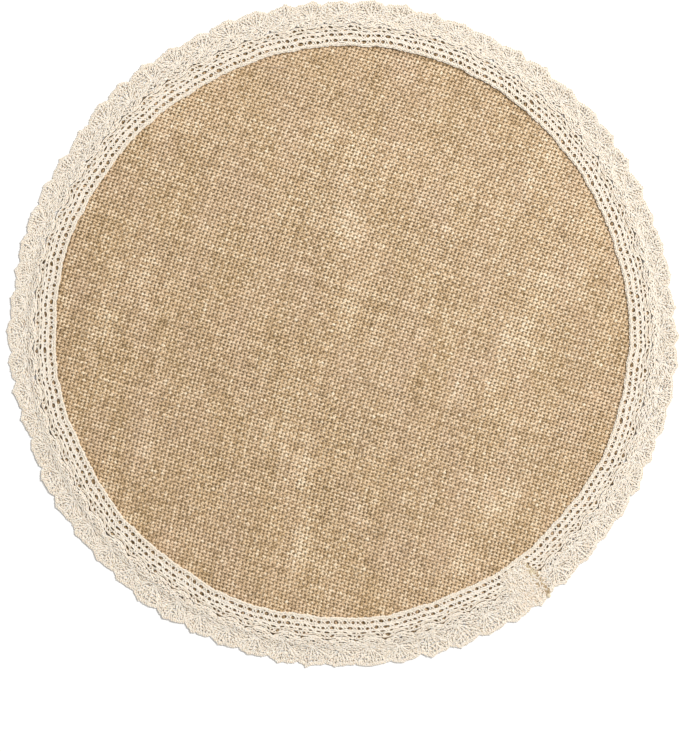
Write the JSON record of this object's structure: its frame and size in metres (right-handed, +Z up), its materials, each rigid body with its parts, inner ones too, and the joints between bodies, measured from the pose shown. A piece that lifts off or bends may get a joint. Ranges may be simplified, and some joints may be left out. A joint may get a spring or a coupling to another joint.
{
  "type": "round tree skirt",
  "caption": "Flat round jute burlap skirt, uncut in the middle, with a scalloped cotton lace band sewn round its rim.",
  "frame": {"origin": "centre of the underside, on the surface that the skirt lies on", "axes": "+Z up through the cloth's thickness; +X and +Y in the plane of the skirt, with the lace join at about five o'clock, 53 degrees below +X"},
  "size_m": [0.381, 0.381, 0.0033],
  "materials": {
    "jute_burlap": "plain-woven natural jute, coarse and dry",
    "cotton_lace": "ecru crocheted cotton yarn, matt",
    "sewing_thread": "fine ecru cotton sewing thread",
    "join_thread": "fine tan cotton sewing thread"
  },
  "bodies": {
    "root": {"burlap_panel": "jute_burlap", "edge_overlock_thread": "join_thread", "lace_heading": "cotton_lace", "lace_eyelet_net": "cotton_lace", "lace_shell_edge": "cotton_lace", "lace_lapped_end": "cotton_lace", "heading_needle_thread": "sewing_thread", "heading_bobbin_thread": "sewing_thread", "rim_needle_thread": "sewing_thread", "rim_bobbin_thread": "sewing_thread", "join_needle_thread": "join_thread", "join_bobbin_thread": "join_thread"}
  },
  "joints": []
}
